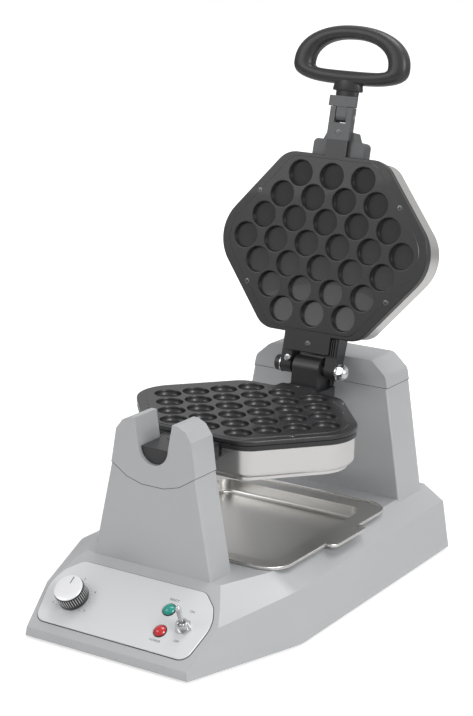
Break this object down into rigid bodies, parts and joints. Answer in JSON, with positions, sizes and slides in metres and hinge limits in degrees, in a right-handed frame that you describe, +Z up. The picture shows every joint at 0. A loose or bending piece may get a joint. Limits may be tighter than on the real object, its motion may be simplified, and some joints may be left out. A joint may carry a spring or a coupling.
{
  "type": "bubble waffle maker",
  "caption": "Turnover waffle maker on a long base with two towers, a hinged lid with bubble moulds, a loop handle, a drip tray and a sloped control panel.",
  "frame": {"origin": "centre of the footprint of the whole object, at the table under the feet", "axes": "+X to the right, +Y to the back, +Z up; the control panel faces -Y"},
  "size_m": [0.2578, 0.4412, 0.5334],
  "materials": {
    "housing_paint": "light silver-grey satin paint on cast metal",
    "cover_steel": "plain steel sheet",
    "foot_rubber": "moulded rubber",
    "bearing_bronze": "plain bronze bush",
    "black_plastic": "moulded black plastic",
    "panel_face": "satin silver panel",
    "green_lens": "clear green moulding",
    "red_lens": "clear red moulding",
    "bright_metal": "bright plated steel",
    "plate_coating": "dark non-stick coating with a soft sheen",
    "rim_black": "dark heat-proof rim",
    "brushed_steel": "brushed stainless steel",
    "element_metal": "sheathed heating tube",
    "black_casting": "black coated casting",
    "grey_casting": "dark grey casting",
    "shaft_steel": "ground steel",
    "handle_black": "charcoal heat-proof moulding",
    "knob_black": "black moulding with ribs",
    "knob_silver": "satin metal cap",
    "tray_steel": "brushed stainless steel"
  },
  "bodies": {
    "base": {"base_housing": "housing_paint", "bottom_cover": "cover_steel", "rubber_feet": "foot_rubber", "front_tower": "housing_paint", "front_tower_cap": "housing_paint", "rear_tower": "housing_paint", "rear_tower_cap": "housing_paint", "rear_bearing": "bearing_bronze", "cord_gland": "black_plastic", "control_panel": "panel_face", "thermostat_body": "black_plastic", "ready_lamp_lens": "green_lens", "power_lamp_lens": "red_lens", "ready_lamp_body": "black_plastic", "power_lamp_body": "black_plastic", "toggle_switch_body": "black_plastic", "toggle_bushing": "bright_metal", "toggle_nut": "bright_metal"},
    "head": {"lower_plate": "plate_coating", "lower_rim": "rim_black", "lower_shell": "brushed_steel", "lower_pan": "brushed_steel", "lower_element": "element_metal", "lower_plate_screws": "bright_metal", "lower_front_arm": "black_casting", "lower_hinge_bracket": "black_casting", "rear_shaft": "shaft_steel", "shaft_collar": "shaft_steel", "hinge_pin": "black_casting", "hinge_nut": "bright_metal", "hinge_washers": "bright_metal", "hinge_sleeves": "black_casting"},
    "lid": {"upper_plate": "plate_coating", "upper_rim": "rim_black", "upper_shell": "brushed_steel", "upper_pan": "brushed_steel", "upper_element": "element_metal", "upper_plate_screws": "bright_metal", "upper_hinge_bracket": "black_casting", "upper_front_arm": "grey_casting", "fold_pin": "shaft_steel"},
    "handle": {"handle_block": "grey_casting", "handle_grip": "handle_black"},
    "dial": {"thermostat_knob": "knob_black", "knob_cap": "knob_silver", "thermostat_shaft": "shaft_steel"},
    "switch_lever": {"toggle_lever": "bright_metal"},
    "tray": {"drip_tray": "tray_steel"}
  },
  "joints": [
    {"name": "head_flip", "type": "hinge", "parent": "base", "child": "head", "pos_m": [0, 0.0084, 0.1794], "axis": [0, 1, 0], "range_deg": [-14, 14]},
    {"name": "lid_hinge", "type": "hinge", "parent": "head", "child": "lid", "pos_m": [0, 0.1329, 0.1933], "axis": [-1, 0, 0], "range_deg": [-103, 0]},
    {"name": "handle_fold", "type": "hinge", "parent": "lid", "child": "handle", "pos_m": [0, 0.18414, 0.44369], "axis": [-1, 0, 0], "range_deg": [0, 90]},
    {"name": "dial_turn", "type": "hinge", "parent": "base", "child": "dial", "pos_m": [-0.0565, -0.19142, 0.03901], "axis": [0, -0.5948, 0.8039], "range_deg": [-150, 150]},
    {"name": "switch_throw", "type": "hinge", "parent": "base", "child": "switch_lever", "pos_m": [0.0634, -0.19078, 0.03899], "axis": [1, 0, 0], "range_deg": [0, 28]},
    {"name": "tray_lift", "type": "slide", "parent": "base", "child": "tray", "axis": [0, 0, 1], "range_m": [0, 0.035]}
  ]
}
